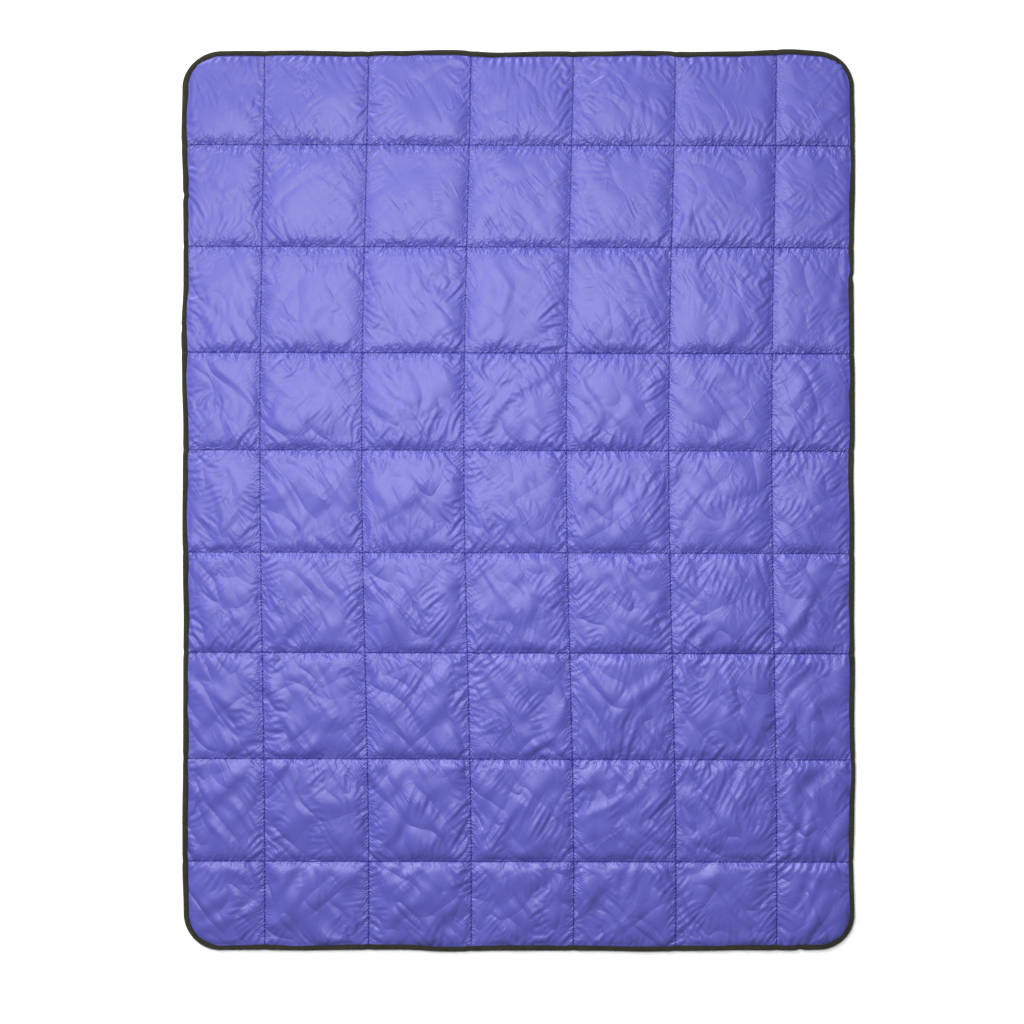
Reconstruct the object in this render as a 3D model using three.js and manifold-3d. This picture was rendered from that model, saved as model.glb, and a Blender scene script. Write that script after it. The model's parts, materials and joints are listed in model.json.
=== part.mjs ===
// Quilted camp blanket: two layers of shell cloth with batting between them, quilted
// in a grid of cells and bound all round with a folded woven tape.
//
// Millimetres. +X runs across the blanket, +Y towards its head end, +Z up.
// The origin is on the ground under the middle of the blanket, which lies flat, face up.
// The head and foot flaps fold over the middle, each along one of the cross seams.

import * as THREE from 'three';
import { mergeVertices } from 'three/addons/utils/BufferGeometryUtils.js';
import Module from 'manifold-3d';

const wasm = await Module();
wasm.setup();

// Driving dimensions

const WIDTH = 1520; // side to side, binding included
const LENGTH = 2036; // head end to foot end, binding included
const LOFT = 24; // ground to the crown of a cell
const CORNER_RADIUS = 84; // at the outer edge of the binding

const COLUMNS = 7; // cells across
const ROWS = 9; // cells from head to foot
const QUILT_PITCH = 231.5; // between neighbouring seams, both ways
const QUILT_SHIFT_X = -2.75; // the seam grid sits a little off the middle
const QUILT_SHIFT_Y = -4.75;
const SEAM_LIFT = 4; // ground to the back shell at a seam
const SEAM_SLOPE = 45; // from a seam out to the flat of a cell
const EDGE_SLOPE = 90; // from the binding in to the flat of a cell

const SHELL = 0.8; // one layer of shell cloth with its creases
const SEAM_BATTING = 0.8; // batting squeezed flat in a seam

const TAPE = 1; // thickness of the binding tape
const TAPE_WIDTH = 12; // what the folded tape covers on each face
const TAPE_EASE = 0.9; // between the tape and the quilt's edge inside it

const THREAD = 0.5; // thickness of a line of stitches
const THREAD_WIDTH = 1.2;
const STITCH_INSET = 1.2; // from the tape's inner edge to its line of stitches

const HEAD_FLAP_ROWS = 2; // rows of cells that fold over at the head end
const FOOT_FLAP_ROWS = 2;
const FOLD_GAP = 1; // between a flap and the middle

const GAP = 0.3; // between pieces that touch
const ARC_STEPS = 6; // chords in each rounded corner

// Sizes that follow from these

const SHELL_INSET = TAPE + GAP; // quilt's edge, in from the binding's outer edge
const FLAT_INSET = TAPE_WIDTH + 2; // the quilt is flat this far in, then starts to rise
const STITCH_END_INSET = FLAT_INSET + 1; // the quilting stitches stop short of the binding
const CORNER_INSET = 0.6 * CORNER_RADIUS; // grid line that clears the rounded corner
const EASED_RADIUS = 1.8 * CORNER_RADIUS; // the layers thin out earlier in the corners
const STACK = 2 * SHELL + 2 * GAP + SEAM_BATTING; // all layers, pinched together

const TAPE_UNDERSIDE = THREAD + GAP;
const EDGE_LIFT = TAPE_UNDERSIDE + TAPE + TAPE_EASE; // ground to the back shell at the edge
const TAPE_TOP = EDGE_LIFT + STACK + TAPE_EASE + TAPE;

// A line of stitches crosses a groove, so it clears the groove's two sides.
const THREAD_STANDOFF = GAP + (THREAD_WIDTH / 2) * (LOFT / SEAM_SLOPE);
const CROSS_THREAD_STANDOFF = THREAD_STANDOFF + THREAD + GAP;

const columnNumbers = Array.from({ length: COLUMNS - 1 }, (_, i) => i + 1);
const rowNumbers = Array.from({ length: ROWS - 1 }, (_, i) => i + 1);
const seamX = (number) => QUILT_SHIFT_X + (number - COLUMNS / 2) * QUILT_PITCH;
const seamY = (number) => QUILT_SHIFT_Y + (ROWS / 2 - number) * QUILT_PITCH;
const lengthwiseSeams = columnNumbers.map(seamX);
const crossSeams = rowNumbers.map(seamY);

// The seam of each fold stays on its flap, and the fold runs just inside the seam.
const FOLD_INSET = THREAD_WIDTH / 2 + FOLD_GAP;
const HEAD_FOLD = seamY(HEAD_FLAP_ROWS) - FOLD_INSET;
const FOOT_FOLD = seamY(ROWS - FOOT_FLAP_ROWS) + FOLD_INSET;

// Each body of the blanket, from its foot side to its head side.
const sections = [
  { name: 'head', low: HEAD_FOLD + FOLD_GAP / 2, high: LENGTH / 2 },
  { name: 'centre', low: FOOT_FOLD + FOLD_GAP / 2, high: HEAD_FOLD - FOLD_GAP / 2 },
  { name: 'foot', low: -LENGTH / 2, high: FOOT_FOLD - FOLD_GAP / 2 },
];

// Height of the layers over the quilting grid

const ramp = (value, from, to) => THREE.MathUtils.clamp((value - from) / (to - from), 0, 1);

const nearest = (value, lines) => Math.min(...lines.map((line) => Math.abs(value - line)));

// How far a place is towards the full seam lift: 0 at the binding, 1 past the outer cells.
function lift(x, y) {
  const flatX = WIDTH / 2 - FLAT_INSET;
  const flatY = LENGTH / 2 - FLAT_INSET;
  return Math.min(
    ramp(x, -flatX, seamX(1)),
    ramp(x, flatX, seamX(COLUMNS - 1)),
    ramp(y, flatY, seamY(1)),
    ramp(y, -flatY, seamY(ROWS - 1)),
  );
}

function distanceFromEdge(x, y) {
  const fromSide = WIDTH / 2 - Math.abs(x);
  const fromEnd = LENGTH / 2 - Math.abs(y);
  if (Math.max(fromSide, fromEnd) > EASED_RADIUS) {
    return Math.min(fromSide, fromEnd);
  }
  return EASED_RADIUS - Math.hypot(EASED_RADIUS - fromSide, EASED_RADIUS - fromEnd);
}

// How full a place is: 0 on a seam and in the binding, 1 on the flat of a cell.
function fullness(x, y) {
  const seam = Math.min(nearest(x, lengthwiseSeams), nearest(y, crossSeams));
  const edge = distanceFromEdge(x, y);
  return Math.min(ramp(edge, FLAT_INSET, FLAT_INSET + EDGE_SLOPE), ramp(seam, 0, SEAM_SLOPE));
}

const pinched = (x, y) => THREE.MathUtils.lerp(EDGE_LIFT, SEAM_LIFT, lift(x, y));
const backSurface = (x, y) => pinched(x, y) * (1 - fullness(x, y));
const faceSurface = (x, y) => THREE.MathUtils.lerp(pinched(x, y) + STACK, LOFT, fullness(x, y));

// Solids

function solid(geometry) {
  geometry.deleteAttribute('normal');
  geometry.deleteAttribute('uv');
  const merged = mergeVertices(geometry);
  return new wasm.Manifold(new wasm.Mesh({
    numProp: 3,
    vertProperties: new Float32Array(merged.attributes.position.array),
    triVerts: new Uint32Array(merged.index.array),
  }));
}

// The solid between two height fields, on a grid of lines at xs and ys.
function layer(xs, ys, under, over) {
  const box = new THREE.BoxGeometry(1, 1, 1, xs.length - 1, ys.length - 1, 1);
  const corner = box.attributes.position;
  for (let i = 0; i < corner.count; i += 1) {
    const x = xs[Math.round((corner.getX(i) + 0.5) * (xs.length - 1))];
    const y = ys[Math.round((corner.getY(i) + 0.5) * (ys.length - 1))];
    corner.setXYZ(i, x, y, corner.getZ(i) > 0 ? over(x, y) : under(x, y));
  }
  return solid(box);
}

function block(low, high) {
  const size = new THREE.Vector3().subVectors(high, low);
  const middle = new THREE.Vector3().addVectors(low, high).multiplyScalar(0.5);
  const box = new THREE.BoxGeometry(size.x, size.y, size.z);
  box.translate(middle.x, middle.y, middle.z);
  return solid(box);
}

// The blanket's outline, a rounded rectangle, moved in from the binding's outer edge.
function traceOutline(path, inset) {
  const radius = CORNER_RADIUS - inset;
  const x = WIDTH / 2 - CORNER_RADIUS;
  const y = LENGTH / 2 - CORNER_RADIUS;
  const quarter = Math.PI / 2;
  path.absarc(x, y, radius, 0, quarter);
  path.absarc(-x, y, radius, quarter, 2 * quarter);
  path.absarc(-x, -y, radius, 2 * quarter, 3 * quarter);
  path.absarc(x, -y, radius, 3 * quarter, 4 * quarter);
  path.closePath();
  return path;
}

function plate(shape, bottom, top) {
  const settings = { depth: top - bottom, bevelEnabled: false, curveSegments: ARC_STEPS };
  const extruded = new THREE.ExtrudeGeometry(shape, settings);
  extruded.translate(0, 0, bottom);
  return solid(extruded);
}

// A flat band that follows the outline, between two insets.
function band(outerInset, innerInset, bottom, top) {
  const shape = traceOutline(new THREE.Shape(), outerInset);
  shape.holes.push(traceOutline(new THREE.Path(), innerInset));
  return plate(shape, bottom, top);
}

// Named pieces

const blanket = new THREE.Group();

const cloth = { color: 0x8181d6, roughness: 0.42, metalness: 0 };
const filling = { color: 0xf1f0ea, roughness: 0.95, metalness: 0 };
const tape = { color: 0x36362a, roughness: 0.8, metalness: 0 };
const stitching = { color: 0x2b2f6b, roughness: 0.7, metalness: 0 };
const tapeStitching = { color: 0x24241b, roughness: 0.7, metalness: 0 };

function add(name, piece, look) {
  const result = piece.getMesh();
  const geometry = new THREE.BufferGeometry();
  geometry.setAttribute('position', new THREE.BufferAttribute(result.vertProperties, 3));
  geometry.setIndex(new THREE.BufferAttribute(result.triVerts, 1));
  geometry.computeVertexNormals();
  const mesh = new THREE.Mesh(geometry, new THREE.MeshStandardMaterial(look));
  mesh.name = name;
  blanket.add(mesh);
}

// Grid lines: each seam with the foot of its slope on both sides, and four near each edge.
function gridLines(seams, halfSize) {
  const atSeams = seams.flatMap((seam) => [seam - SEAM_SLOPE, seam, seam + SEAM_SLOPE]);
  const fromMiddle = [SHELL_INSET, FLAT_INSET, CORNER_INSET].map((inset) => halfSize - inset);
  const atEdges = fromMiddle.flatMap((distance) => [-distance, distance]);
  const inside = atSeams.filter((line) => Math.abs(line) < halfSize - FLAT_INSET);
  return [...inside, ...atEdges].sort((a, b) => a - b);
}

// The grid lines of one section, cut off where the section ends.
function sectionLines({ low, high }) {
  const all = gridLines(crossSeams, LENGTH / 2);
  const first = Math.max(low, all[0]);
  const last = Math.min(high, all[all.length - 1]);
  return [first, ...all.filter((line) => line > first && line < last), last];
}

// Each layer is what lies below its upper surface but not below its lower one, so that
// neighbouring layers have the same facets and keep their gap.
function addQuiltedLayers() {
  const acrossLines = gridLines(lengthwiseSeams, WIDTH / 2);
  const quiltEdge = plate(traceOutline(new THREE.Shape(), SHELL_INSET), -LOFT, 2 * LOFT);
  const layers = [
    ['face_shell', faceSurface, -SHELL, faceSurface, 0, cloth],
    ['batting', backSurface, SHELL + GAP, faceSurface, -SHELL - GAP, filling],
    ['back_shell', backSurface, 0, backSurface, SHELL, cloth],
  ];
  for (const section of sections) {
    const alongLines = sectionLines(section);
    const below = (surface, distance) => layer(
      acrossLines, alongLines, () => -LOFT, (x, y) => surface(x, y) + distance,
    );
    for (const [name, lower, lowerStep, upper, upperStep, look] of layers) {
      const sheet = below(upper, upperStep).subtract(below(lower, lowerStep));
      add(`${name}_${section.name}`, sheet.intersect(quiltEdge), look);
    }
  }
}

// Cuts what runs all round the edge into the four lengths that the folds leave.
function addAroundEdge(name, ring, look) {
  const tall = 2 * LOFT;
  const [head, centre, foot] = sections;
  const lengths = {
    head: [-WIDTH, WIDTH, head.low, LENGTH],
    left: [-WIDTH, 0, centre.low, centre.high],
    right: [0, WIDTH, centre.low, centre.high],
    foot: [-WIDTH, WIDTH, -LENGTH, foot.high],
  };
  for (const [place, [x1, x2, y1, y2]] of Object.entries(lengths)) {
    const cutter = block(new THREE.Vector3(x1, y1, -tall), new THREE.Vector3(x2, y2, tall));
    add(`${name}_${place}`, ring.intersect(cutter), look);
  }
}

function addBinding() {
  const folded = band(0, TAPE_WIDTH, TAPE_UNDERSIDE, TAPE_TOP);
  const inside = band(TAPE, TAPE_WIDTH + 1, TAPE_UNDERSIDE + TAPE, TAPE_TOP - TAPE);
  addAroundEdge('binding', folded.subtract(inside), tape);
  const innerInset = TAPE_WIDTH - STITCH_INSET;
  const outerInset = innerInset - THREAD_WIDTH;
  const needleBottom = TAPE_TOP + GAP;
  const needle = band(outerInset, innerInset, needleBottom, needleBottom + THREAD);
  addAroundEdge('binding_needle_thread', needle, tapeStitching);
  const bobbin = band(outerInset, innerInset, 0, THREAD);
  addAroundEdge('binding_bobbin_thread', bobbin, tapeStitching);
}

// Ends of a line of stitches, with a bend where it comes down to the binding.
function stitchStops(low, high, seams, halfSize) {
  const end = halfSize - FLAT_INSET;
  const first = Math.max(low, -end);
  const last = Math.min(high, end);
  const bends = [Math.min(...seams), Math.max(...seams)];
  return [first, ...bends.filter((bend) => bend > first && bend < last), last];
}

// Stitches keep inside the binding, also where a seam runs into a rounded corner.
function insideBinding(stitches) {
  const shape = traceOutline(new THREE.Shape(), STITCH_END_INSET);
  return stitches.intersect(plate(shape, -LOFT, 2 * LOFT));
}

function lengthwiseStitches(x, section, height) {
  const ys = stitchStops(section.low, section.high, crossSeams, LENGTH / 2);
  const sides = [x - THREAD_WIDTH / 2, x + THREAD_WIDTH / 2];
  const over = (_, y) => height(x, y) + THREAD;
  return insideBinding(layer(sides, ys, (_, y) => height(x, y), over));
}

function crossStitches(y, height) {
  const xs = stitchStops(-WIDTH, WIDTH, lengthwiseSeams, WIDTH / 2);
  const sides = [y - THREAD_WIDTH / 2, y + THREAD_WIDTH / 2];
  const over = (x) => height(x, y) + THREAD;
  return insideBinding(layer(xs, sides, (x) => height(x, y), over));
}

// On the face, the cross seams are sewn over the lengthwise ones.
function addNeedleThreads() {
  const overFace = (standoff) => (x, y) => pinched(x, y) + STACK + standoff;
  for (const number of columnNumbers) {
    for (const section of sections) {
      const line = lengthwiseStitches(seamX(number), section, overFace(THREAD_STANDOFF));
      add(`needle_thread_lengthwise_${number}_${section.name}`, line, stitching);
    }
  }
  for (const number of rowNumbers) {
    const line = crossStitches(seamY(number), overFace(CROSS_THREAD_STANDOFF));
    add(`needle_thread_cross_${number}`, line, stitching);
  }
}

// On the back, the threads of each section lock together where their seams cross, the
// cross seams a little lower than the lengthwise ones.
function addBobbinThreads() {
  const underBack = (x, y) => pinched(x, y) - THREAD_STANDOFF - THREAD;
  const lower = (x, y) => underBack(x, y) - THREAD / 4;
  for (const section of sections) {
    const inSection = crossSeams.filter((y) => y > section.low && y < section.high);
    const lines = [
      ...lengthwiseSeams.map((x) => lengthwiseStitches(x, section, underBack)),
      ...inSection.map((y) => crossStitches(y, lower)),
    ];
    add(`bobbin_threads_${section.name}`, wasm.Manifold.union(lines), stitching);
  }
}

addQuiltedLayers();
addBinding();
addNeedleThreads();
addBobbinThreads();

export default blanket;
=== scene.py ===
# Camp blanket: a face cloth and a back cloth quilted over batting, and bound with folded tape.
import json
import math

import bpy
import numpy as np
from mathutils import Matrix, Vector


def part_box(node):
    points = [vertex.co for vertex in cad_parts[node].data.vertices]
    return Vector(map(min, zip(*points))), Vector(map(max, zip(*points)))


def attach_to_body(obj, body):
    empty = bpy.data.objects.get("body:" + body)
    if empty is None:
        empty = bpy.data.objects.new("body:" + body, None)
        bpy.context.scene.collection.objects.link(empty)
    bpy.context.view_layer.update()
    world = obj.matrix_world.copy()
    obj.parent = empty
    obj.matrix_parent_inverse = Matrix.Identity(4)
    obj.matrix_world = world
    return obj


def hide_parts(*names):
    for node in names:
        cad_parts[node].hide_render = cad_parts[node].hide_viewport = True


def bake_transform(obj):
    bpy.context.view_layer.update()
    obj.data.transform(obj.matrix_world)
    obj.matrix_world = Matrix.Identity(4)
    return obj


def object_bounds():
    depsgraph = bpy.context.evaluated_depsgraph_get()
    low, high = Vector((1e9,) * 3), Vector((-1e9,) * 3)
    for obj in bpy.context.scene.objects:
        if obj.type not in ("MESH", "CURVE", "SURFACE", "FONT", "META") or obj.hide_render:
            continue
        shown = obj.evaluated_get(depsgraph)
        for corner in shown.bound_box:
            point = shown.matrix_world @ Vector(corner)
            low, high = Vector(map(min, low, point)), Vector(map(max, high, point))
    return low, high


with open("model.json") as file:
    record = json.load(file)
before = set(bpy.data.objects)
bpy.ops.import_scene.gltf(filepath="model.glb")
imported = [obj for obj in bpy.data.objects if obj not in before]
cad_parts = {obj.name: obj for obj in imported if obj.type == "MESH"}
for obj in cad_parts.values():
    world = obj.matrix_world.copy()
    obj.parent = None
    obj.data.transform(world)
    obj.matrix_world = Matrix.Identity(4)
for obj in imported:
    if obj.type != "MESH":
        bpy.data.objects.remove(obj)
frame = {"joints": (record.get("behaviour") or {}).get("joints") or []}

CAD_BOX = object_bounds()

# ---------------------------------------------------------------- sizes, in metres

CROSS_SEAMS = 8
LENGTHWISE_SEAMS = 6
PARTS = ("head", "middle", "foot")  # lengths of the blanket, split along cross seams
PART_CROSS_SEAMS = (3, 6)  # the cross seams where the parts meet, counted from the head

CORNER_RADIUS = 0.084
CLOTH_BORDER = 0.008  # how far the cloth's edge lies inside the binding's outer edge
COARSE_STEP = 0.0066  # spacing of the first, coarse cloth grid
FLOOR_CLEARANCE = 0.0003


def box_middle(node, axis):
    low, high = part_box(node)
    return (low[axis] + high[axis]) / 2


LENGTHWISE_THREADS = [f"needle_thread_lengthwise_{n + 1}_centre" for n in range(LENGTHWISE_SEAMS)]
CROSS_THREADS = [f"needle_thread_cross_{n + 1}" for n in range(CROSS_SEAMS)]
SEAM_X = [box_middle(thread, 0) for thread in LENGTHWISE_THREADS]
SEAM_Y = [box_middle(thread, 1) for thread in CROSS_THREADS]
HALF_WIDTH = CAD_BOX[1][0]
HALF_LENGTH = CAD_BOX[1][1]
FACE_CROWN_Z = 0.86 * CAD_BOX[1][2]  # the middle of a cell, below the highest folds

TAPE_LOW, TAPE_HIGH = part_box("binding_left")
TAPE_WIDTH = TAPE_HIGH[0] - TAPE_LOW[0]
CLOTH_FROM_THREAD = 0.0005  # how far the cloth lies from the thread, in a seam
CLOTH_FROM_TAPE = 0.0023  # how far the cloth's edge lies inside the tape's outer faces
FACE_SEAM_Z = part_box("needle_thread_lengthwise_3_centre")[0][2] - CLOTH_FROM_THREAD
BACK_SEAM_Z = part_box("bobbin_threads_centre")[1][2] + CLOTH_FROM_THREAD
FACE_EDGE_Z = TAPE_HIGH[2] - CLOTH_FROM_TAPE
BACK_EDGE_Z = TAPE_LOW[2] + CLOTH_FROM_TAPE
HELD_PAST_TAPE = 0.0002  # how far past the tape's inner edge the cloth is still held
BEND_INWARD = 0.016  # how far from a fold's hinge, towards the middle, attach() sets a bend's end, which nothing uses
BEND_OUTWARD = 0.040  # and towards the end, where nothing lies under them

HALF_CELL = (SEAM_X[1] - SEAM_X[0]) / 2
SHOULDER_REACH = (0.044, 0.026)  # how far the cloth rises from lengthwise and cross seams
SHOULDER_SHARE = 0.45  # of a cell's rise, beside its seams
DOME_SHARE = 0.55  # and the rest, over the whole cell
EDGE_FULLNESS = 0.62  # over that of the inner cells, beside the binding
TAPE_FADE = 0.006  # how far from the tape the cloth starts to rise
LYING_FOLD_LEAN = 50  # degrees from across the blanket, for the long soft folds
LYING_FOLD_SLIMNESS = 0.36  # such a fold's width over its length
LYING_FOLD_SPACING = 0.030
LYING_FOLD_DEPTH = 0.09  # over the rise of a cell
LYING_FOLD_WANDER = 0.018  # how far they stray sideways
LYING_FOLD_WANDER_SPACING = 0.13

CROSS_GATHER_REACH = 0.012  # how far from a cross seam its gathers reach
LENGTHWISE_GATHER_REACH = 0.009
LENGTHWISE_GATHER = 0.35  # over that of a cross seam
UNEVEN_STRAIN = 0.014
UNEVEN_SPACING = 0.045
SKEW_SPACING = 0.08

# Cloth solver: how hard links pull, and what speed a point keeps from turn to turn
NEIGHBOUR_PULL = 0.9
DIAGONAL_PULL = 0.4
MOMENTUM = 0.9
COARSE_PLAN = {"rounds": 200, "lofting": 0.01, "bending": 0.5, "growth": 0.6}
FINE_PLAN = {"rounds": 80, "lofting": 0.006, "bending": 0.1, "growth": 0.01}
START_BUMPS = 0.0014  # size of the soft bumps that the first folds grow from
START_BUMP_SPACING = 0.028
START_GRAIN = 0.0007  # and of the roughness on them
FINE_GRAIN = 0.0002

BATTING_STRIDE = 3  # spacing of the batting's grid lines across, in coarse cloth grid lines
BATTING_GAP = 0.001

TAPE_THICKNESS = 0.0008
TAPE_STEP = 0.004
TAPE_MIDDLE_Z = (TAPE_LOW[2] + TAPE_HIGH[2]) / 2
TAPE_STITCH_INSET = TAPE_WIDTH - 0.0014
TAPE_STITCH_Z = (TAPE_LOW[2] + 0.0004, TAPE_HIGH[2] - 0.0006)
# The folded tape's middle, from its lower inner edge round the fold to its upper inner edge:
# how far in from the outer edge, and how high.
TAPE_PROFILE = (
    (0.0118, 0.0016),
    (0.0090, 0.0013),
    (0.0055, 0.0012),
    (0.0030, 0.0014),
    (0.0012, 0.0021),
    (0.0004, 0.0032),
    (0.0003, 0.0043),
    (0.0007, 0.0054),
    (0.0018, 0.0065),
    (0.0036, 0.0072),
    (0.0062, 0.0073),
    (0.0092, 0.0070),
    (0.0118, 0.0064),
)
# Where the tape is drawn in: x, y and how much
TAPE_PINCHES = [(-0.760, 0.690, 1.0), (0.760, 0.508, 1.0), (0.631, -1.018, 1.0)]
TAPE_PINCHES += [(-0.760, 0.395, 0.6)]
TAPE_PINCHES += [(side * HALF_WIDTH, y, 0.35) for side in (-1, 1) for y in SEAM_Y]
TAPE_PINCHES += [(x, end * HALF_LENGTH, 0.35) for end in (-1, 1) for x in SEAM_X]
TAPE_PINCH = 0.0026
TAPE_PINCH_REACH = 0.008
TAPE_PINCH_SIDE = 0.03  # a pinch stays on its own side of the blanket, within this of its line
TAPE_PINCH_LIMIT = 0.05
TAPE_RIPPLE = 0.0006
TAPE_RIPPLE_SPACINGS = (0.009, 0.025)
TAPE_WANDER = 0.05  # how much the covered width varies, over itself
TAPE_WANDER_SPACING = 0.04

STITCH_PITCH = 0.0033
THREAD_RADIUS = 0.00045
THREAD_ARCH = 0.0002
STITCH_SHARE = 0.47  # half a stitch's length over the pitch, which leaves a small gap


def part_ends():
    """Lowest and highest y of each part of the blanket, by name."""
    upper, lower = (SEAM_Y[n - 1] for n in PART_CROSS_SEAMS)
    return {
        "head": (upper, HALF_LENGTH),
        "middle": (lower, upper),
        "foot": (-HALF_LENGTH, lower),
    }


# ---------------------------------------------------------------- how the blanket lies

CROSS_SEAM_DRIFT = (-0.0015, -0.0005, -0.009, 0.0025, 0.0025, 0.007, -0.0015, -0.0015)
CROSS_SEAM_TILT = -0.0020  # each cross seam falls this much from the left side to the right
SEAM_SHIFT = 0.0030  # how far the lengthwise seams lie to the right of even
SEAM_BOW = 0.0085  # how far they bow sideways
SEAM_BOW_PHASE = 0.93  # where along the length, from the head, they bow furthest right
EDGE_WAVE = 0.0013  # how far the edge wavers
EDGE_WAVE_SPACING = 0.11
EDGE_WAVE_DEPTH = 0.12  # how far in from the edge the wavering reaches


def ease(t):
    t = np.clip(t, 0, 1)
    return t * t * (3 - 2 * t)


def soft_noise(seed, x, y, spacing):
    """Smooth noise of about unit size at x, y, with lumps about spacing wide."""
    rng = np.random.default_rng(seed)
    reach = 2 * max(HALF_WIDTH, HALF_LENGTH)
    count = int(2 * reach / spacing) + 3
    lattice = rng.normal(size=(count, count))
    u = (x + reach) / spacing
    v = (y + reach) / spacing
    column = np.floor(u).astype(int)
    row = np.floor(v).astype(int)
    s = ease(u - column)
    t = ease(v - row)
    lower = lattice[row, column] * (1 - s) + lattice[row, column + 1] * s
    upper = lattice[row + 1, column] * (1 - s) + lattice[row + 1, column + 1] * s
    return (lower * (1 - t) + upper * t) * 1.5


def round_corners(x, y, inset):
    """Moves places near the rectangle's corners so that its edge follows the rounded outline."""
    radius = CORNER_RADIUS - inset
    corner_x = HALF_WIDTH - CORNER_RADIUS
    corner_y = HALF_LENGTH - CORNER_RADIUS
    a = (np.abs(x) - corner_x) / radius
    b = (np.abs(y) - corner_y) / radius
    inside = (a > 0) & (b > 0)
    a = np.clip(a, 0, None)
    b = np.clip(b, 0, None)
    rounded_x = np.sign(x) * (corner_x + radius * a * np.sqrt(np.clip(1 - b * b / 2, 0, 1)))
    rounded_y = np.sign(y) * (corner_y + radius * b * np.sqrt(np.clip(1 - a * a / 2, 0, 1)))
    return np.where(inside, rounded_x, x), np.where(inside, rounded_y, y)


def lie(x, y):
    """Where a place on the blanket comes to lie, with its seams and edges a little off straight."""
    along = (HALF_LENGTH - y) / (2 * HALF_LENGTH)
    bow = SEAM_SHIFT + SEAM_BOW * np.cos(2 * math.pi * (along - SEAM_BOW_PHASE))
    bow = bow * (1 - (x / HALF_WIDTH) ** 4)
    seams = [-HALF_LENGTH, *reversed(SEAM_Y), HALF_LENGTH]
    drifts = [0.0, *reversed(CROSS_SEAM_DRIFT), 0.0]
    tilt = CROSS_SEAM_TILT * x / HALF_WIDTH * (1 - (y / HALF_LENGTH) ** 6)
    drift = np.interp(y, seams, drifts) + tilt
    near_side = ease(1 - (HALF_WIDTH - np.abs(x)) / EDGE_WAVE_DEPTH)
    near_end = ease(1 - (HALF_LENGTH - np.abs(y)) / EDGE_WAVE_DEPTH)
    side = np.sign(x) * HALF_WIDTH
    end = np.sign(y) * HALF_LENGTH
    side_wave = EDGE_WAVE * soft_noise(11, side, y, EDGE_WAVE_SPACING) * near_side
    end_wave = EDGE_WAVE * soft_noise(12, x, end, EDGE_WAVE_SPACING) * near_end
    return x + bow + side_wave, y + drift + end_wave


# ---------------------------------------------------------------- cloth simulation


def grid_lines(stops, step, halvings):
    """Grid lines from the first stop to the last, each stop on a line, and the stops' indices."""
    lines = [np.array([stops[0]])]
    at = [0]
    for start, end in zip(stops, stops[1:]):
        count = round((end - start) / step) * 2**halvings
        lines.append(np.linspace(start, end, count + 1)[1:])
        at.append(at[-1] + count)
    return np.concatenate(lines), at


def nearest(values, stops):
    return np.min([np.abs(values - stop) for stop in stops], axis=0)


def border_distance(grid):
    """How far each point is from the cloth's own edge."""
    return np.minimum(HALF_WIDTH - np.abs(grid.x), HALF_LENGTH - np.abs(grid.y)) - CLOTH_BORDER


class QuiltGrid:
    """The cloth's grid, at one fineness, with what is fixed about each of its points."""

    def __init__(self, halvings):
        edge_x = HALF_WIDTH - CLOTH_BORDER
        edge_y = HALF_LENGTH - CLOTH_BORDER
        self.stops_x = [-edge_x, *SEAM_X, edge_x]
        self.stops_y = [-edge_y, *reversed(SEAM_Y), edge_y]
        lines_x, self.at_x = grid_lines(self.stops_x, COARSE_STEP, halvings)
        lines_y, self.at_y = grid_lines(self.stops_y, COARSE_STEP, halvings)
        self.x, self.y = np.meshgrid(lines_x, lines_y)
        self.flat = np.array(lie(*round_corners(self.x, self.y, CLOTH_BORDER)), np.float32)
        self.from_x = nearest(self.x, self.stops_x)
        self.from_y = nearest(self.y, self.stops_y)
        self.free = np.ones(self.x.shape, np.float32)
        self.free[self.at_y, :] = 0
        self.free[:, self.at_x] = 0
        self.free[border_distance(self) < TAPE_WIDTH - CLOTH_BORDER + HELD_PAST_TAPE] = 0

    def lift(self):
        """0 at the binding, rising to 1 at the outermost seams."""
        outer_x = [self.stops_x[0], SEAM_X[0], SEAM_X[-1], self.stops_x[-1]]
        outer_y = [self.stops_y[0], SEAM_Y[-1], SEAM_Y[0], self.stops_y[-1]]
        across = np.interp(self.x, outer_x, [0, 1, 1, 0])
        along = np.interp(self.y, outer_y, [0, 1, 1, 0])
        return ease(np.minimum(across, along))


def strain(grid, seed, gather, fold, shear):
    """How much longer than its place the cloth is, across and along, and how far it is sheared.
    It is gathered along the seams, most of all along the cross seams near the head."""
    down = (HALF_LENGTH - grid.y) / (2 * HALF_LENGTH)
    over = (grid.x + HALF_WIDTH) / (2 * HALF_WIDTH)
    seam_gather = gather * (1.25 - 0.75 * down)
    across = fold * (0.8 + 0.7 * over) + seam_gather * np.exp(-grid.from_y / CROSS_GATHER_REACH)
    beside = LENGTHWISE_GATHER * gather * np.exp(-grid.from_x / LENGTHWISE_GATHER_REACH)
    along = fold * 0.9 + beside
    across += UNEVEN_STRAIN * soft_noise(seed, grid.x, grid.y, UNEVEN_SPACING)
    along += UNEVEN_STRAIN * soft_noise(seed + 1, grid.x, grid.y, UNEVEN_SPACING)
    uneven_skew = 0.9 * shear * soft_noise(seed + 2, grid.x, grid.y, SKEW_SPACING)
    skew = shear * (0.25 + 1.1 * down) + uneven_skew
    return across, along, skew


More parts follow.
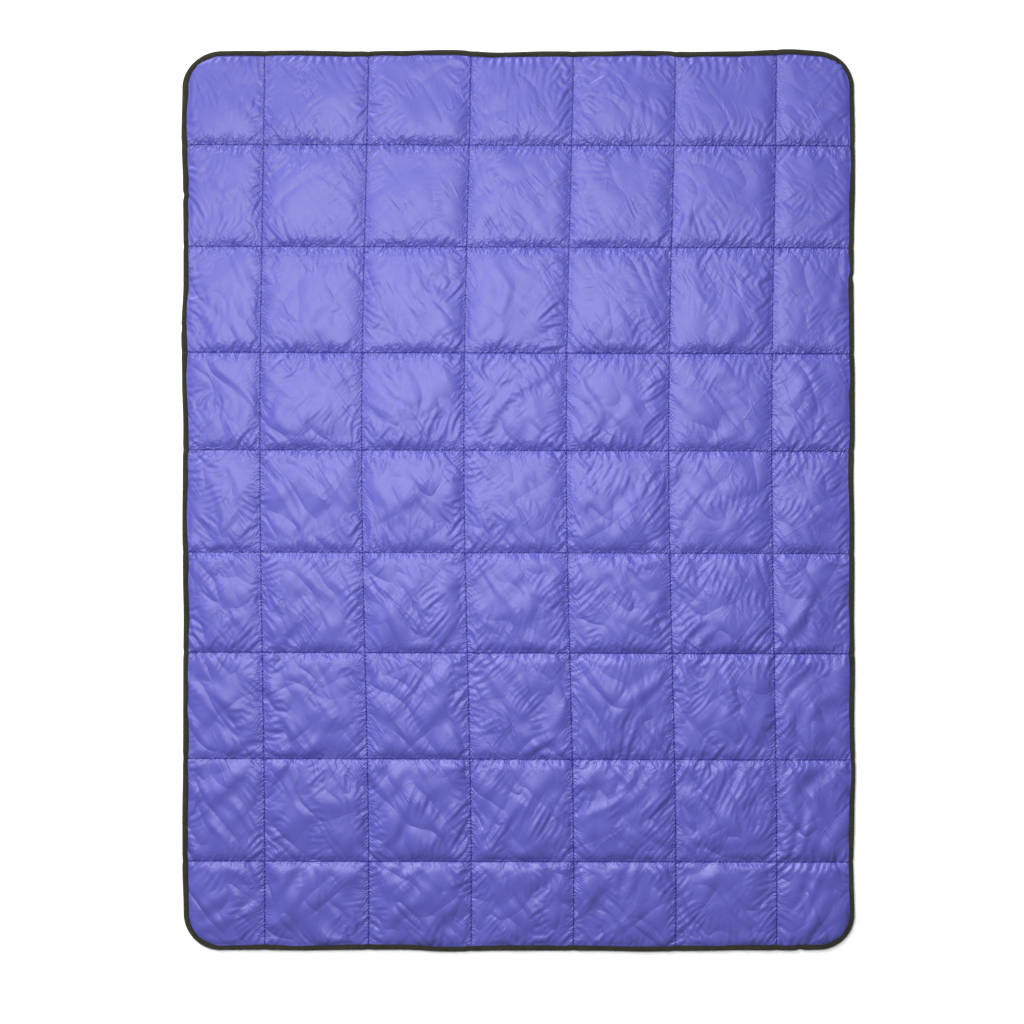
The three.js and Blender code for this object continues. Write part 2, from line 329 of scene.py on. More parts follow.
def links(shape):
    """Pairs of slices whose points are linked: neighbours, diagonals, and points two or three
    apart, in sets where no point is used twice. Each comes with its reach."""
    rows, columns = shape
    for reach in (1, 2, 3):
        for first in range(2 * reach):
            a = slice(first, columns - reach, 2 * reach)
            b = slice(first + reach, columns, 2 * reach)
            yield np.s_[:, :, a], np.s_[:, :, b], reach
            a = slice(first, rows - reach, 2 * reach)
            b = slice(first + reach, rows, 2 * reach)
            yield np.s_[:, a, :], np.s_[:, b, :], reach
    for first in (0, 1):
        a = slice(first, rows - 1, 2)
        b = slice(first + 1, rows, 2)
        yield np.s_[:, a, :-1], np.s_[:, b, 1:], 0
        yield np.s_[:, a, 1:], np.s_[:, b, :-1], 0


def settle(cloth, grid, strains, pinned, target, rounds, lofting, bending, growth):
    """Position-based cloth simulation. Each link pulls its two points towards its own length,
    longer links only straighten, and the batting pushes each point to its target height.
    The links grow from their length on the flat to their full length over a share of the rounds."""
    across, along, skew = strains
    stiffness = {0: DIAGONAL_PULL, 1: NEIGHBOUR_PULL, 2: bending, 3: bending}
    prepared = []
    for a, b, reach in links(grid.x.shape):
        dx, dy = grid.flat[b] - grid.flat[a]
        mean = [(part[a[1:]] + part[b[1:]]) / 2 for part in (across, along, skew)]
        full = np.hypot((1 + mean[0]) * dx + mean[2] * dy, mean[2] * dx + (1 + mean[1]) * dy)
        start = np.hypot(dx, dy)
        freedom = np.maximum(grid.free[a[1:]] + grid.free[b[1:]], 1e-6)
        share_a = (grid.free[a[1:]] / freedom).astype(np.float32)
        share_b = (grid.free[b[1:]] / freedom).astype(np.float32)
        growing = (full - start).astype(np.float32)
        prepared.append((a, b, reach, start.astype(np.float32), growing, share_a, share_b))
    speed = np.zeros_like(cloth)
    outward = np.sign(target.mean() - pinned.mean())
    for turn in range(rounds):
        grown = min(1.0, (turn + 1) / (rounds * growth))
        before = cloth.copy()
        cloth += speed
        cloth[2] += lofting * (target - cloth[2]) * grid.free
        for a, b, reach, start, growing, share_a, share_b in prepared:
            apart = cloth[b] - cloth[a]
            length = np.sqrt((apart * apart).sum(0))
            pull = stiffness[reach] * (1 - (start + growing * grown) / np.maximum(length, 1e-7))
            if reach > 1:
                pull = np.minimum(pull, 0)
            apart *= pull
            cloth[a] += apart * share_a
            cloth[b] -= apart * share_b
        cloth[2] = outward * np.maximum(outward * cloth[2], outward * pinned)
        speed = (cloth - before) * MOMENTUM * grid.free
    return cloth


def halve(field, axis):
    """Puts a new point midway between each two along an axis, on a smooth curve through them."""
    field = np.moveaxis(field, axis, -1)
    padded = np.concatenate([field[..., :1], field, field[..., -1:]], axis=-1)
    between = (9 * (padded[..., 1:-2] + padded[..., 2:-1]) - padded[..., :-3] - padded[..., 3:]) / 16
    result = np.empty((*field.shape[:-1], 2 * field.shape[-1] - 1), field.dtype)
    result[..., ::2] = field
    result[..., 1::2] = between
    return np.moveaxis(result, -1, axis)


def rise(grid, reach_x, reach_y):
    """0 at the seams, rounding off to 1 at reach_x and reach_y from them."""
    across = 1 - (1 - np.clip(grid.from_x / reach_x, 0, 1)) ** 2
    along = 1 - (1 - np.clip(grid.from_y / reach_y, 0, 1)) ** 2
    return across * along


def lying_folds(grid, seed):
    """Long soft folds that lean to the right, stronger towards the foot."""
    lean = math.radians(LYING_FOLD_LEAN)
    across = grid.x * math.sin(lean) - grid.y * math.cos(lean)
    along = grid.x * math.cos(lean) + grid.y * math.sin(lean)
    stray = soft_noise(seed + 8, grid.x, grid.y, LYING_FOLD_WANDER_SPACING)
    across = across + LYING_FOLD_WANDER * stray
    down = (HALF_LENGTH - grid.y) / (2 * HALF_LENGTH)
    folds = soft_noise(seed + 7, across, along * LYING_FOLD_SLIMNESS, LYING_FOLD_SPACING)
    return folds * (0.25 + 0.75 * down)


def loft(grid, seed, seam_z, edge_z, crown_z):
    """Height of the pinned seams, and the height that the batting gives everywhere."""
    pinned = edge_z + (seam_z - edge_z) * grid.lift()
    shoulder = rise(grid, *SHOULDER_REACH)
    fullness = SHOULDER_SHARE * shoulder + DOME_SHARE * rise(grid, HALF_CELL, HALF_CELL)
    fullness *= 0.9 + 0.09 * soft_noise(seed, grid.x, grid.y, 0.09)
    fullness *= EDGE_FULLNESS + (1 - EDGE_FULLNESS) * grid.lift()
    fullness += LYING_FOLD_DEPTH * lying_folds(grid, seed) * shoulder
    in_tape = ease((TAPE_WIDTH + TAPE_FADE - CLOTH_BORDER - border_distance(grid)) / TAPE_FADE)
    return pinned, pinned + (crown_z - pinned) * fullness * (1 - in_tape)


def simulate(seed, seam_z, edge_z, crown_z, gather, fold, shear, halvings):
    """Lets one cloth of the blanket settle over the batting, first on a coarse grid."""
    for level in range(halvings + 1):
        grid = QuiltGrid(level)
        pinned, target = loft(grid, seed, seam_z, edge_z, crown_z)
        rng = np.random.default_rng(seed + level)
        if level == 0:
            start = pinned + 0.75 * (target - pinned)
            side = 1 if crown_z > seam_z else -1
            bumps = START_BUMPS * soft_noise(seed + 5, grid.x, grid.y, START_BUMP_SPACING)
            bumps += START_GRAIN * rng.normal(size=grid.x.shape)
            cloth = np.array([*grid.flat, start + side * bumps * grid.free], np.float32)
        else:
            cloth = halve(halve(cloth, 1), 2)
            cloth[2] += FINE_GRAIN * rng.normal(size=grid.x.shape) * grid.free
        fixed = np.array([*grid.flat, pinned], np.float32)
        cloth = np.where(grid.free > 0, cloth, fixed)
        strains = strain(grid, seed + 2, gather, fold, shear)
        pinned = pinned.astype(np.float32)
        target = target.astype(np.float32)
        plan = FINE_PLAN if level else COARSE_PLAN
        cloth = settle(cloth, grid, strains, pinned, target, **plan)
    return cloth, grid


# ---------------------------------------------------------------- meshes


def deselect():
    bpy.ops.object.select_all(action="DESELECT")


def sheet_object(name, points):
    """A sheet of quads through a grid of points, with a UV map that follows the grid."""
    deselect()
    rows, columns = points.shape[1:]
    bpy.ops.mesh.primitive_grid_add(x_subdivisions=columns - 1, y_subdivisions=rows - 1, size=1)
    piece = bpy.context.active_object
    piece.name = name
    piece.data.name = name
    piece.data.vertices.foreach_set("co", np.moveaxis(points, 0, -1).astype(np.float32).ravel())
    piece.data.update()
    return piece


def smooth(piece):
    piece.data.polygons.foreach_set("use_smooth", np.ones(len(piece.data.polygons), bool))


def part_rows(grid, part):
    """The grid rows of one part of the blanket, ends included."""
    upper, lower = (len(grid.at_y) - 1 - n for n in PART_CROSS_SEAMS)
    ends = {
        "head": (grid.at_y[upper], grid.at_y[-1]),
        "middle": (grid.at_y[lower], grid.at_y[upper]),
        "foot": (0, grid.at_y[lower]),
    }
    first, last = ends[part]
    return slice(first, last + 1)


def attach(piece, part):
    """Makes a piece of the middle part move with the centre body. For a piece of the head or foot
    part it only bakes the transform: the span of a bend about its fold's hinge, from the foot's side
    to the head's, is worked out, but nothing blends or attaches the piece."""
    if part == "middle":
        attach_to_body(piece, "centre")
        return
    folds = {joint["name"]: joint["pos_m"] for joint in frame["joints"]}
    _, y, z = folds[f"{part}_fold"]
    if part == "head":
        start, end = (0, y - BEND_INWARD, z), (0, y + BEND_OUTWARD, z)
        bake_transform(piece)
        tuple(start)
        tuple(end)
    else:
        start, end = (0, y - BEND_OUTWARD, z), (0, y + BEND_INWARD, z)
        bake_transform(piece)
        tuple(start)
        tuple(end)


# ---------------------------------------------------------------- materials


class Signal:
    """A node's output, with arithmetic that adds Math nodes."""

    def __init__(self, material, socket):
        self.material = material
        self.socket = socket

    def math(self, operation, *others):
        values = {n: other for n, other in enumerate((self, *others))}
        return self.material.node("ShaderNodeMath", {"operation": operation}, values)

    def __add__(self, other):
        return self.math("ADD", other)

    def __mul__(self, other):
        return self.math("MULTIPLY", other)

    def __sub__(self, other):
        return self.math("SUBTRACT", other)

    def __rsub__(self, other):
        return (self * -1) + other

    __radd__ = __add__
    __rmul__ = __mul__


class Finish:
    """A material under construction."""

    def __init__(self, name):
        self.material = bpy.data.materials.new(name)
        self.material.use_nodes = True
        self.tree = self.material.node_tree
        self.shader = self.tree.nodes["Principled BSDF"]

    def node(self, kind, settings=None, inputs=None, output=0):
        made = self.tree.nodes.new(kind)
        for name, value in (settings or {}).items():
            setattr(made, name, value)
        for name, value in (inputs or {}).items():
            self.feed(made.inputs[name], value)
        return Signal(self, made.outputs[output])

    def feed(self, socket, value):
        if isinstance(value, Signal):
            self.tree.links.new(value.socket, socket)
        else:
            socket.default_value = value

    def set(self, **values):
        for name, value in values.items():
            self.feed(self.shader.inputs[name.replace("_", " ")], value)

    def coordinates(self, source="Object"):
        return self.node("ShaderNodeTexCoord", output=source)

    def along(self, vector, axis):
        """A vector's X, Y or Z."""
        return self.node("ShaderNodeSeparateXYZ", None, {"Vector": vector}, output=axis)

    def scaled(self, vector, scale):
        return self.node("ShaderNodeMapping", None, {"Vector": vector, "Scale": scale})

    def turned(self, vector, angle):
        return self.node("ShaderNodeMapping", None, {"Vector": vector, "Rotation": (0, 0, angle)})

    def noise(self, vector, scale, detail=2, roughness=0.5, distortion=0):
        inputs = {
            "Vector": vector,
            "Scale": scale,
            "Detail": detail,
            "Roughness": roughness,
            "Distortion": distortion,
        }
        return self.node("ShaderNodeTexNoise", None, inputs)

    def ribs(self, vector, axis, scale, distortion=0):
        """Even ribs that follow one another along an axis."""
        wave = {"wave_type": "BANDS", "bands_direction": axis, "wave_profile": "SIN"}
        inputs = {"Vector": vector, "Scale": scale, "Distortion": distortion}
        return self.node("ShaderNodeTexWave", wave, inputs, output="Fac")

    def mix(self, factor, first, second):
        settings = {"data_type": "RGBA"}
        return self.node("ShaderNodeMix", settings, {0: factor, 6: first, 7: second}, output=2)

    def bump(self, height, distance, strength):
        inputs = {"Height": height, "Distance": distance, "Strength": strength}
        return self.node("ShaderNodeBump", None, inputs)


def srgb(red, green, blue):
    """A colour from its 0 to 255 values, as a shader takes it."""
    parts = [value / 255 for value in (red, green, blue)]
    linear = [p / 12.92 if p <= 0.04045 else ((p + 0.055) / 1.055) ** 2.4 for p in parts]
    return (*linear, 1)


def taffeta_finish(name):
    """Glossy nylon taffeta. Short puckers stand beside the seams, slanting as the needle drew them,
    and crisp crumples run over the rest, above a faint weave. The UV map is the cloth laid flat."""
    finish = Finish(name)
    place = finish.coordinates()
    flat = finish.coordinates("UV")
    across = finish.along(flat, "X")
    upward = finish.along(flat, "Y")
    pitch_x = (SEAM_X[-1] - SEAM_X[0]) / (LENGTHWISE_SEAMS - 1)
    pitch_y = (SEAM_Y[0] - SEAM_Y[-1]) / (CROSS_SEAMS - 1)
    from_x = (across - SEAM_X[0]).math("WRAP", pitch_x / 2, -pitch_x / 2)
    from_y = (upward - SEAM_Y[0]).math("WRAP", pitch_y / 2, -pitch_y / 2)
    size_x = from_x.math("ABSOLUTE")
    size_y = from_y.math("ABSOLUTE")
    uneven = finish.noise(flat, 45, detail=2)
    patchy = finish.noise(flat, 14, detail=2)

    def puckers(position, spacing, wander, near, reach):
        phase = position * (2 * math.pi / spacing) + uneven * wander
        ridge = (phase.math("SINE") * 0.5 + 0.5).math("POWER", 2.2)
        return ridge * (near * (-1 / reach)).math("EXPONENT") * patchy

    def crease(lean, scale):
        """Thin creases that lean to one side, here and there."""
        long = finish.scaled(finish.turned(flat, lean), (0.22, 1, 1))
        folded = finish.noise(long, scale, detail=2, roughness=0.5, distortion=0.5)
        line = (1 - (folded - 0.5).math("ABSOLUTE") * 14).math("MAXIMUM", 0)
        here = finish.noise(flat, 11, detail=1)
        return line * line * ((here - 0.48) * 6).math("MAXIMUM", 0).math("MINIMUM", 1)

    def crumple(lean, scale):
        """Broad soft planes that meet in leaning ridges."""
        long = finish.scaled(finish.turned(flat, lean), (0.45, 1, 1))
        folded = finish.noise(long, scale, detail=1, roughness=0.4, distortion=0.35)
        return (folded - 0.5).math("ABSOLUTE")

    lengthwise_puckers = puckers(upward + size_x * 0.8, 0.0105, 26, size_x, 0.0095)
    cross_puckers = puckers(across - from_y * 0.45, 0.0135, 30, size_y, 0.014)
    creases = crease(1.0, 30) + crease(-0.9, 24) * 0.6
    crumples = crumple(1.0, 17) * 12 + crumple(-0.8, 14) * 6
    crinkle = finish.noise(flat, 150, detail=2, roughness=0.55, distortion=0.8)
    weave = finish.ribs(place, "X", 900) + finish.ribs(place, "Y", 900)
    clouds = finish.noise(place, 7, detail=3)
    gathers = lengthwise_puckers * 1.1
    gathers = gathers + cross_puckers * (0.62 + upward * (0.4 / HALF_LENGTH)) * 2.1
    height = gathers + creases * 0.35 + crinkle * 0.1 + weave * 0.01
    height = height + crumples * (0.6 - upward * (0.35 / HALF_LENGTH))
    # Painted shadow: the base colour turns deep navy in a thin line along each seam, standing in for
    # the shade inside the stitched groove.
    from_seam = size_x.math("MINIMUM", size_y)
    painted_seam_shadow = (from_seam * from_seam * -230000).math("EXPONENT")
    cloth = finish.mix(clouds, srgb(75, 74, 159), srgb(79, 78, 164))
    finish.set(
        Base_Color=finish.mix(painted_seam_shadow * 0.9, cloth, srgb(25, 24, 128)),
        Roughness=0.38 + 0.1 * crinkle,
        Normal=finish.bump(height, 0.002, 1.0),
    )
    finish.shader.inputs["Specular IOR Level"].default_value = 0.55
    finish.shader.inputs["Sheen Weight"].default_value = 0.08
    finish.shader.inputs["Sheen Roughness"].default_value = 0.4
    return finish.material


def tape_finish(width):
    """Matt woven tape with ribs across its width, mottled and a little fuzzy, with painted shade
    darkening its inner edges.
    """
    finish = Finish("olive_binding_tape")
    place = finish.coordinates()
    uv = finish.coordinates("UV")
    ribs = finish.ribs(uv, "X", 250, distortion=1.0)
    fuzz = finish.noise(place, 700, detail=2)
    mottle = finish.noise(place, 110, detail=3, roughness=0.7)
    shade = finish.noise(place, 14, detail=2)
    patches = (shade * 0.6 + mottle * 0.9 - 0.35).math("MAXIMUM", 0).math("MINIMUM", 1)
    across = finish.along(uv, "Y")
    # Painted shade: the colour goes nearly black within a few millimetres of the tape's inner edges,
    # standing in for the shadow that the puffed cloth and the fold cast there.
    from_edge = (width / 2) - (across - width / 2).math("ABSOLUTE")
    edge = (from_edge * -450).math("EXPONENT")
    woven = finish.mix(patches, srgb(20, 19, 9), srgb(55, 54, 34))
    finish.shader.inputs["Specular IOR Level"].default_value = 0.3
    finish.shader.inputs["Sheen Weight"].default_value = 0.1
    finish.set(
        Base_Color=finish.mix(edge * 0.95, woven, srgb(6, 6, 3)),
        Roughness=0.85 - 0.1 * fuzz,
        Normal=finish.bump(ribs * 0.5 + fuzz * 0.5 + mottle, 0.001, 0.8),
    )
    return finish.material


def thread_finish(name, dark, light):
    """Twisted polyester thread."""
    finish = Finish(name)
    place = finish.coordinates()
    shade = finish.noise(place, 400, detail=2)
    finish.shader.inputs["Specular IOR Level"].default_value = 0.25
    finish.set(
        Base_Color=finish.mix(shade, dark, light),
        Roughness=0.6 + 0.2 * shade,
        Normal=finish.bump(shade, 0.0002, 0.5),
    )
    return finish.material


def batting_finish():
    """Loose white fibre."""
    finish = Finish("white_batting")
    place = finish.coordinates()
    fibre = finish.noise(place, 300, detail=4)
    finish.set(
        Base_Color=finish.mix(fibre, srgb(226, 224, 214), srgb(246, 245, 240)),
        Roughness=0.9 + 0.1 * fibre,
        Normal=finish.bump(fibre, 0.002, 0.6),
    )
    return finish.material


# ---------------------------------------------------------------- cloth pieces

CAD_PART = {"head": "head", "middle": "centre", "foot": "foot"}
CLOTH_EASE = 1.05  # the cloth was cut this much longer and wider than it lies, and gathered in


def make_cloth(name, cloth, grid, finish, node, faces_down):
    """The three parts of the face or the back cloth."""
    for part in PARTS:
        rows = part_rows(grid, part)
        piece = sheet_object(f"{name}_{part}", cloth[:, rows])
        set_uv(piece, grid.x[rows], grid.y[rows])
        if faces_down:
            piece.data.flip_normals()
        smooth(piece)
        piece.data.materials.append(finish)
        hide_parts(f"{node}_{CAD_PART[part]}")
        low, high = part_ends()[part]
        cut = (2 * HALF_WIDTH * CLOTH_EASE, (high - low) * CLOTH_EASE)
        attach(piece, part)


def lowest_around(height, rows, columns):
    """At each corner of a coarser grid, the lowest place of the cloth in the meshes around it."""
    lowest = np.minimum.reduceat(height, rows[:-1], axis=0)
    lowest = np.minimum.reduceat(lowest, columns[:-1], axis=1)
    lowest = np.pad(lowest, 1, mode="edge")
    upper = np.minimum(lowest[1:, :-1], lowest[1:, 1:])
    return np.minimum(upper, np.minimum(lowest[:-1, :-1], lowest[:-1, 1:]))


def spread(stops, stride):
    """Whole numbers from the first stop to the last, about stride apart, with every stop."""
    picked = [stops[:1]]
    for start, end in zip(stops, stops[1:]):
        picked.append(np.linspace(start, end, round((end - start) / stride) + 1).round()[1:])
    return np.concatenate(picked).astype(int)


def make_batting(face, face_grid, back, back_grid):
    """One sheet of batting in three parts, filling the space between the two cloths."""
    finish = batting_finish()
    columns = spread(back_grid.at_x, BATTING_STRIDE)
    ratio = face_grid.at_x[-1] // back_grid.at_x[-1]
    for part in PARTS:
        span = part_rows(back_grid, part)
        rows = np.arange(span.start, span.stop)
        face_part = face[2, ratio * rows[0] : ratio * rows[-1] + 1]
        back_part = back[2, rows[0] : rows[-1] + 1]
        top = lowest_around(face_part, ratio * (rows - rows[0]), ratio * columns) - BATTING_GAP
        base = BATTING_GAP - lowest_around(-back_part, rows - rows[0], columns)
        middle = (top + base) / 2
        rim = np.ones(top.shape, bool)
        rim[1:-1, 1:-1] = False
        top = np.where(rim, middle, np.maximum(top, middle + BATTING_GAP / 4))
        base = np.where(rim, middle, np.minimum(base, middle - BATTING_GAP / 4))
        flat = back_grid.flat[:, rows][:, :, columns]
        upper = np.array([*flat, top])
        under = np.array([*flat, base])[:, ::-1]
        piece = sheet_object(f"batting_sheet_{part}", np.concatenate([upper, under[:, 1:]], axis=1))
        bpy.ops.object.mode_set(mode="EDIT")
        bpy.ops.mesh.select_all(action="SELECT")
        bpy.ops.mesh.remove_doubles(threshold=1e-6)
        bpy.ops.object.mode_set(mode="OBJECT")
        smooth(piece)
        piece.data.materials.append(finish)
        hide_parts(f"batting_{CAD_PART[part]}")
        attach(piece, part)


# ---------------------------------------------------------------- binding


def edge_run(part, step):
    """Places along the blanket's outer edge, clockwise seen from above, and which way is out.
    The head and foot parts run round two corners, and the middle is two straight sides."""
    corner_x = HALF_WIDTH - CORNER_RADIUS
    corner_y = HALF_LENGTH - CORNER_RADIUS
    low, high = part_ends()["middle"]

    def straight(start, end, out):
        count = round(math.dist(start, end) / step)
        t = np.linspace(0, 1, count + 1)[:, None]
        return np.array(start) * (1 - t) + np.array(end) * t, np.tile(out, (count + 1, 1))

    def corner(centre, first_angle):
        count = round(CORNER_RADIUS * math.pi / 2 / step)
        angle = first_angle - np.linspace(0, math.pi / 2, count + 1)[1:-1]
        out = np.stack([np.cos(angle), np.sin(angle)], axis=1)
        return np.array(centre) + CORNER_RADIUS * out, out

    if part == "left":
        return straight((-HALF_WIDTH, low), (-HALF_WIDTH, high), (-1, 0))
    if part == "right":
        return straight((HALF_WIDTH, high), (HALF_WIDTH, low), (1, 0))
    turn = 1 if part == "head" else -1
    stop = high if part == "head" else -low
    runs = [
        straight((-HALF_WIDTH, stop), (-HALF_WIDTH, corner_y), (-1, 0)),
        corner((-corner_x, corner_y), math.pi),
        straight((-corner_x, HALF_LENGTH), (corner_x, HALF_LENGTH), (0, 1)),
        corner((corner_x, corner_y), math.pi / 2),
        straight((HALF_WIDTH, corner_y), (HALF_WIDTH, stop), (1, 0)),
    ]
    places, outs = (np.concatenate(parts) * turn for parts in zip(*runs))
    return places, outs


def tape_points(places, outs, inset, height):
    """Where the tape comes to lie, inset from the edge and at a height above the floor."""
    x, y = (places - outs * inset[..., None]).T
    pinch = np.zeros_like(x)
    for pinch_x, pinch_y, depth in TAPE_PINCHES:
        off_x = (x - pinch_x) ** 2 * outs[:, 1] ** 2
        off_y = (y - pinch_y) ** 2 * outs[:, 0] ** 2
        near = (off_x + off_y) / TAPE_PINCH_REACH**2
        here = (np.abs(x - pinch_x) < TAPE_PINCH_SIDE) | (np.abs(y - pinch_y) < TAPE_PINCH_SIDE)
        beside = np.hypot(x - pinch_x, y - pinch_y) < TAPE_PINCH_LIMIT
        pinch = pinch + depth * np.exp(-near) * here * beside
    x = x - outs[:, 0] * TAPE_PINCH * pinch
    y = y - outs[:, 1] * TAPE_PINCH * pinch
    x, y = lie(x, y)
    fine, broad = TAPE_RIPPLE_SPACINGS
    ripple = TAPE_RIPPLE * soft_noise(21, x, y, fine) + TAPE_RIPPLE * soft_noise(22, x, y, broad)
    above = np.clip((height - TAPE_MIDDLE_Z) / TAPE_MIDDLE_Z, -0.3, 1)
    sunk = (height - TAPE_MIDDLE_Z) * (1 - 0.4 * pinch) + TAPE_MIDDLE_Z
    return np.array([x, y, sunk + ripple * above])


def make_binding():
    """Woven tape folded over the edge, in four lengths, with the stitches that sew it down."""
    across = path_lengths(np.array(TAPE_PROFILE).T)
    finish = tape_finish(across[-1])
    thread = thread_finish("olive_binding_thread", srgb(38, 37, 25), srgb(58, 57, 40))
    lengths = {"head": "head", "left": "middle", "right": "middle", "foot": "foot"}
    for name, part in lengths.items():
        places, outs = edge_run(name, TAPE_STEP)
        wander = soft_noise(23, *places.T, TAPE_WANDER_SPACING)
        rows = []
        for inset, height in TAPE_PROFILE:
            wide = inset * (1 + TAPE_WANDER * wander)
            rows.append(tape_points(places, outs, wide, height))
        points = np.stack(rows, axis=1)
        piece = sheet_object(f"binding_tape_{name}", points)
        along = path_lengths(places.T)
        set_uv(piece, *np.meshgrid(along, across))
        walls = piece.modifiers.new("thickness", "SOLIDIFY")
        walls.thickness = TAPE_THICKNESS
        walls.offset = 0
        bpy.ops.object.modifier_apply(modifier=walls.name)
        smooth(piece)
        piece.data.materials.append(finish)
        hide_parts(f"binding_{name}")
        attach(piece, part)
        places, outs = edge_run(name, STITCH_PITCH)
        wander = soft_noise(23, *places.T, TAPE_WANDER_SPACING)
        inset = TAPE_STITCH_INSET * (1 + TAPE_WANDER * wander)
        upper = tape_points(places, outs, inset, TAPE_STITCH_Z[1])
        lower = tape_points(places, outs, inset, TAPE_STITCH_Z[0])
        for side, path in (("needle", upper), ("bobbin", lower)):
            row = sew(f"binding_{side}_stitches_{name}", [path], thread)
            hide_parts(f"binding_{side}_thread_{name}")
            attach(row, part)


def path_lengths(points):
    """Distance along a path, at each of its points."""
    steps = np.sqrt((np.diff(points, axis=1) ** 2).sum(0))
    return np.concatenate([[0], np.cumsum(steps)])


def set_uv(piece, u, v):
    """UV map in metres, from each point's distance along and across the piece."""
    corners = np.empty(len(piece.data.loops), int)
    piece.data.loops.foreach_get("vertex_index", corners)
    table = np.stack([u.ravel(), v.ravel()], axis=1)
    piece.data.uv_layers.active.data.foreach_set("uv", table[corners].astype(np.float32).ravel())


# ---------------------------------------------------------------- stitches


def sew(name, paths, finish, lift=0.0):
    """A stitch between each two points of each path. One stitch is made, copied, and laid along."""
    deselect()
    lying = (0, math.pi / 2, 0)
    bpy.ops.mesh.primitive_uv_sphere_add(segments=6, ring_count=3, radius=1, rotation=lying)
    bpy.ops.object.transform_apply(location=False, rotation=True, scale=False)
    piece = bpy.context.active_object
    piece.name = name
    piece.data.name = name
    starts = np.concatenate([path[:, :-1] for path in paths], axis=1)
    ends = np.concatenate([path[:, 1:] for path in paths], axis=1)
    count = starts.shape[1]
    copies = piece.modifiers.new("copies", "ARRAY")
    copies.count = count
    copies.use_relative_offset = False
    bpy.ops.object.modifier_apply(modifier=copies.name)
    places = np.empty(len(piece.data.vertices) * 3, np.float32)
    piece.data.vertices.foreach_get("co", places)
    grain = places.reshape(count, -1, 3).transpose(2, 0, 1)
    middle = ((starts + ends) / 2)[:, :, None]
    along = (ends - starts)[:, :, None]
    length = np.sqrt((along**2).sum(0))
    tangent = along / length
    side = np.array([-tangent[1], tangent[0], np.zeros_like(tangent[0])])
    side /= np.sqrt((side**2).sum(0))
    up = np.cross(tangent, side, axis=0)
    lengthwise = grain[0] * tangent * length * STITCH_SHARE
    sideways = grain[1] * side * THREAD_RADIUS
    laid = middle + lengthwise + sideways + grain[2] * up * THREAD_RADIUS
    laid[2] += lift + THREAD_ARCH * (1 - grain[0] ** 2)
    piece.data.vertices.foreach_set("co", laid.transpose(1, 2, 0).astype(np.float32).ravel())
    piece.data.update()
    smooth(piece)
    piece.data.materials.append(finish)
    return piece


def cross_seam_part(number):
    """The part of the blanket that a cross seam moves with, counted from 1 at the head."""
    first, last = PART_CROSS_SEAMS
    if number < first:
        return "head"
    return "foot" if number > last else "middle"


def make_quilting(face, face_grid, back, back_grid):
    """The stitches of the quilting seams: needle thread on the face, bobbin thread on the back."""
    thread = thread_finish("navy_quilting_thread", srgb(28, 26, 120), srgb(42, 39, 146))
    for part in PARTS:
        rows = part_rows(face_grid, part)
        for n, column in enumerate(face_grid.at_x[1:-1]):
            path = face[:, rows, column]
            row = sew(f"lengthwise_stitches_{n + 1}_{part}", [path], thread, lift=THREAD_RADIUS)
            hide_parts(f"needle_thread_lengthwise_{n + 1}_{CAD_PART[part]}")
            attach(row, part)
    for n, line in enumerate(reversed(face_grid.at_y[1:-1])):
        row = sew(f"cross_stitches_{n + 1}", [face[:, line, :]], thread, lift=THREAD_RADIUS)
        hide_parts(f"needle_thread_cross_{n + 1}")
        attach(row, cross_seam_part(n + 1))
    fine = halve(halve(back, 1), 2)
    for part in PARTS:
        rows = part_rows(back_grid, part)
        fine_rows = slice(2 * rows.start, 2 * rows.stop - 1)
        paths = [fine[:, fine_rows, 2 * column] for column in back_grid.at_x[1:-1]]
        lines = [line for line in back_grid.at_y[1:-1] if rows.start <= line < rows.stop - 1]
        paths += [fine[:, 2 * line, :] for line in lines]
        row = sew(f"bobbin_stitches_{part}", paths, thread, lift=-THREAD_RADIUS)
        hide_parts(f"bobbin_threads_{CAD_PART[part]}")
        attach(row, part)


# ---------------------------------------------------------------- stage


def set_stage():
    deselect()
    bpy.ops.mesh.primitive_plane_add(size=40, location=(0, 0, -FLOOR_CLEARANCE))
    floor = bpy.context.active_object
    floor.name = "floor"
    finish = Finish("pale_floor")
    finish.set(Base_Color=srgb(250, 250, 250), Roughness=0.95)
    finish.shader.inputs["Specular IOR Level"].default_value = 0.0
    finish.shader.inputs["Emission Color"].default_value = (1, 1, 1, 1)
    finish.shader.inputs["Emission Strength"].default_value = 0.05
    floor.data.materials.append(finish.material)


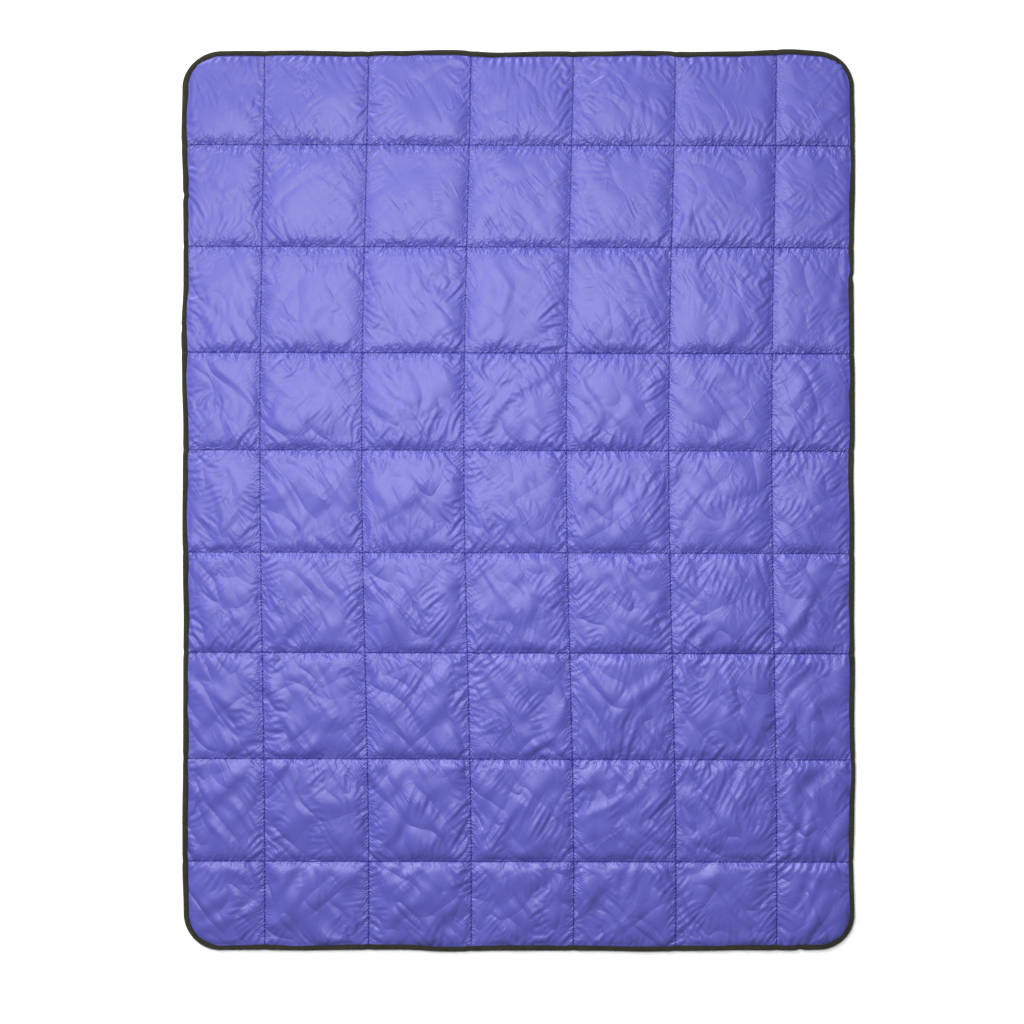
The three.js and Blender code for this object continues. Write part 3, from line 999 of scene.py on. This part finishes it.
def add_light(kind, name, place, aim, power, size):
    """A lamp at a place, turned to face what it is aimed at."""
    deselect()
    across, away, up = (end - start for start, end in zip(place, aim))
    tilt = math.atan2(math.hypot(across, away), -up)
    turn = math.atan2(across, -away)
    bpy.ops.object.light_add(type=kind, location=place, rotation=(tilt, 0, turn + math.pi))
    lamp = bpy.context.active_object
    lamp.name = name
    lamp.data.energy = power
    if kind == "SUN":
        lamp.data.angle = size
    else:
        lamp.data.shape = "SQUARE"
        lamp.data.size = size


def set_camera():
    """Straight above the blanket, whose middle is a little right of and above the frame's."""
    deselect()
    view_width = 2.319
    lens = 85.0
    sensor = 36.0
    height = view_width * lens / sensor
    bpy.ops.object.camera_add(location=(-0.0147, -0.026, height), rotation=(0, 0, 0))
    camera = bpy.context.active_object
    camera.data.lens = lens
    camera.data.sensor_width = sensor
    camera.data.clip_end = 50
    bpy.context.scene.camera = camera


def set_lights():
    world = bpy.data.worlds.new("studio")
    bpy.context.scene.world = world
    world.use_nodes = True
    background = world.node_tree.nodes["Background"]
    background.inputs["Color"].default_value = (0.93, 0.95, 1.0, 1)
    background.inputs["Strength"].default_value = 0.3
    add_light("AREA", "overhead_softbox", (-0.43, 0.58, 2.6), (-0.2, 0.2, 0), 78, 1.5)
    add_light("SUN", "side_light", (-2.3, 3.6, 2.3), (0, 0, 0), 2.7, math.radians(14))
    bpy.context.scene.view_settings.view_transform = "Standard"


set_camera()
set_stage()
set_lights()

face, face_grid = simulate(
    seed=3,
    seam_z=FACE_SEAM_Z,
    edge_z=FACE_EDGE_Z,
    crown_z=FACE_CROWN_Z,
    gather=0.052,
    fold=0.013,
    shear=-0.004,
    halvings=1,
)
back, back_grid = simulate(
    seed=40,
    seam_z=BACK_SEAM_Z,
    edge_z=BACK_EDGE_Z,
    crown_z=0.0,
    gather=0.05,
    fold=0.02,
    shear=0.015,
    halvings=0,
)
back[2] = np.maximum(back[2], FLOOR_CLEARANCE)

face_cloth = taffeta_finish("periwinkle_face_taffeta")
back_cloth = taffeta_finish("periwinkle_back_taffeta")
make_cloth("face_cloth", face, face_grid, face_cloth, "face_shell", False)
make_cloth("back_cloth", back, back_grid, back_cloth, "back_shell", True)
make_batting(face, face_grid, back, back_grid)
make_binding()
make_quilting(face, face_grid, back, back_grid)
